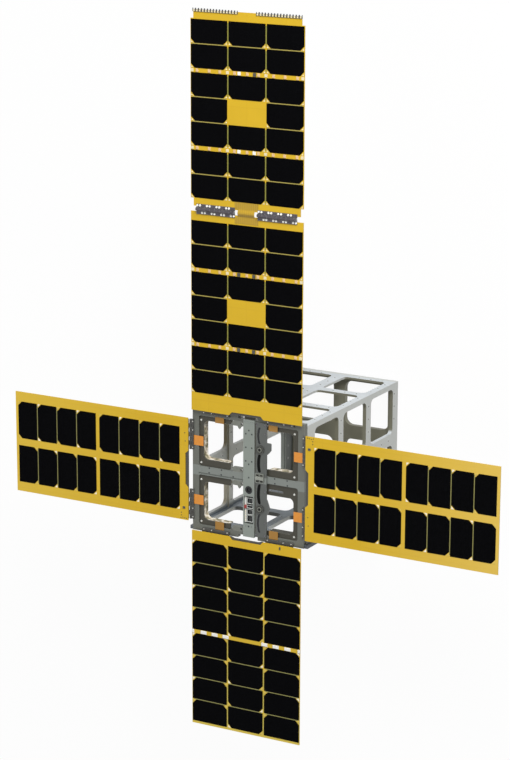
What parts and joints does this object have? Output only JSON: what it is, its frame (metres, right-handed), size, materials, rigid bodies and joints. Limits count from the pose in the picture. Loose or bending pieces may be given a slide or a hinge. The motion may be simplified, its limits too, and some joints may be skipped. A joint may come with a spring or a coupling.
{
  "type": "nanosatellite with folding solar wings",
  "caption": "Open-frame nanosatellite whose solar wings spread from hinges round its front face; the top wing is a folding double panel.",
  "frame": {"origin": "centre of the rear face, which the satellite stands on", "axes": "+Z out of the front face, +Y along the double top wing, +X along the right wing"},
  "size_m": [0.9776, 1.3057, 0.379],
  "materials": {
    "body_aluminium": "fine blasted",
    "pale_aluminium": "satin",
    "dark_anodised": "dark anodised",
    "hinge_dark": "dark anodised",
    "liner_beige": "bare laminate",
    "pin_steel": "bright",
    "board_yellow": "satin coated laminate",
    "solar_cell": "glass-covered cell",
    "amber_film": "amber film",
    "tan_film": "flexible circuit",
    "black_plastic": "moulded",
    "white_plastic": "moulded",
    "red_plastic": "moulded"
  },
  "bodies": {
    "bus": {"front_frame": "body_aluminium", "rear_frame": "body_aluminium", "wall_left": "body_aluminium", "wall_right": "body_aluminium", "wall_top": "body_aluminium", "wall_bottom": "body_aluminium", "dispenser_tabs": "body_aluminium", "window_rings": "dark_anodised", "window_liners": "liner_beige", "spine_clips": "pale_aluminium", "spine_plate": "pale_aluminium", "umbilical_port": "black_plastic", "service_sockets": "black_plastic", "status_strip": "white_plastic", "arming_plug": "red_plastic", "release_plate": "dark_anodised", "release_springs": "black_plastic", "release_hubs": "dark_anodised", "release_clasp": "pale_aluminium", "flex_tails": "amber_film", "hinge_base_left": "hinge_dark", "hinge_base_right": "hinge_dark", "hinge_base_top": "hinge_dark", "hinge_base_bottom": "hinge_dark", "root_pins": "pin_steel"},
    "top_inner": {"top_inner_panel": "board_yellow", "top_inner_cells": "solar_cell", "top_inner_leaf": "hinge_dark", "mid_leaf_inner": "hinge_dark", "mid_pins": "pin_steel", "mid_flex": "tan_film"},
    "top_outer": {"top_outer_panel": "board_yellow", "top_outer_cells": "solar_cell", "mid_leaf_outer": "hinge_dark", "edge_combs": "hinge_dark"},
    "left_wing": {"left_panel": "board_yellow", "left_cells": "solar_cell", "left_leaf": "hinge_dark"},
    "right_wing": {"right_panel": "board_yellow", "right_cells": "solar_cell", "right_leaf": "hinge_dark"},
    "bottom_wing": {"bottom_panel": "board_yellow", "bottom_cells": "solar_cell", "bottom_leaf": "hinge_dark"}
  },
  "joints": [
    {"name": "top_root", "type": "hinge", "parent": "bus", "child": "top_inner", "pos_m": [0, 0.1162, 0.3675], "axis": [-1, 0, 0], "range_deg": [0, 90], "stiffness_Nm_per_rad": 0.7, "springref_deg": -171.89},
    {"name": "top_mid", "type": "hinge", "parent": "top_inner", "child": "top_outer", "pos_m": [0, 0.476, 0.3763], "axis": [1, 0, 0], "range_deg": [0, 180], "stiffness_Nm_per_rad": 0.15, "springref_deg": -171.89, "deforming": ["mid_flex"]},
    {"name": "left_root", "type": "hinge", "parent": "bus", "child": "left_wing", "pos_m": [-0.1162, 0, 0.3675], "axis": [0, -1, 0], "range_deg": [0, 90], "stiffness_Nm_per_rad": 0.2, "springref_deg": -171.89},
    {"name": "right_root", "type": "hinge", "parent": "bus", "child": "right_wing", "pos_m": [0.1162, 0, 0.3675], "axis": [0, 1, 0], "range_deg": [0, 90], "stiffness_Nm_per_rad": 0.2, "springref_deg": -171.89},
    {"name": "bottom_root", "type": "hinge", "parent": "bus", "child": "bottom_wing", "pos_m": [0, -0.1162, 0.3675], "axis": [1, 0, 0], "range_deg": [0, 90], "stiffness_Nm_per_rad": 0.2, "springref_deg": -171.89}
  ]
}
